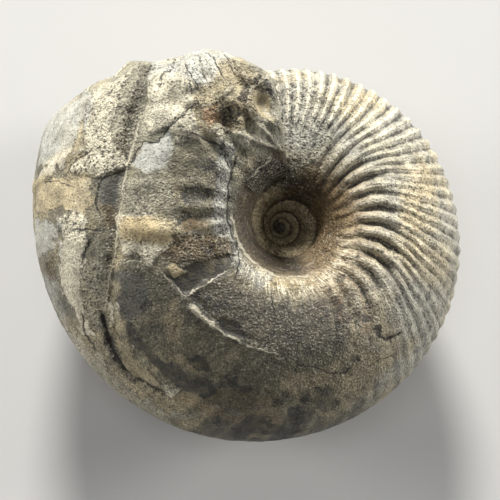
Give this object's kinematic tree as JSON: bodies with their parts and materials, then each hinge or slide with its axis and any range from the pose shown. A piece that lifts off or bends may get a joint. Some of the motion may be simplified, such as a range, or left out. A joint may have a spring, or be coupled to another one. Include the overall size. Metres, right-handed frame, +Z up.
{
  "type": "ammonite fossil",
  "caption": "Globose coiled ammonite fossil with curved splitting ribs, a deep umbilicus and a broken last whorl, lying on its flank.",
  "frame": {"origin": "centre of the bounding box's bottom face, on the surface the fossil lies on", "axes": "+Z up, close to the coil axis; +X along the shell's longest width; +Y towards the broken end of the last whorl"},
  "size_m": [0.0628, 0.057, 0.0467],
  "materials": {
    "fossil_stone": "weathered cream and grey limestone, satin on the ribs and rough where broken"
  },
  "bodies": {
    "root": {"ammonite": "fossil_stone"}
  },
  "joints": []
}
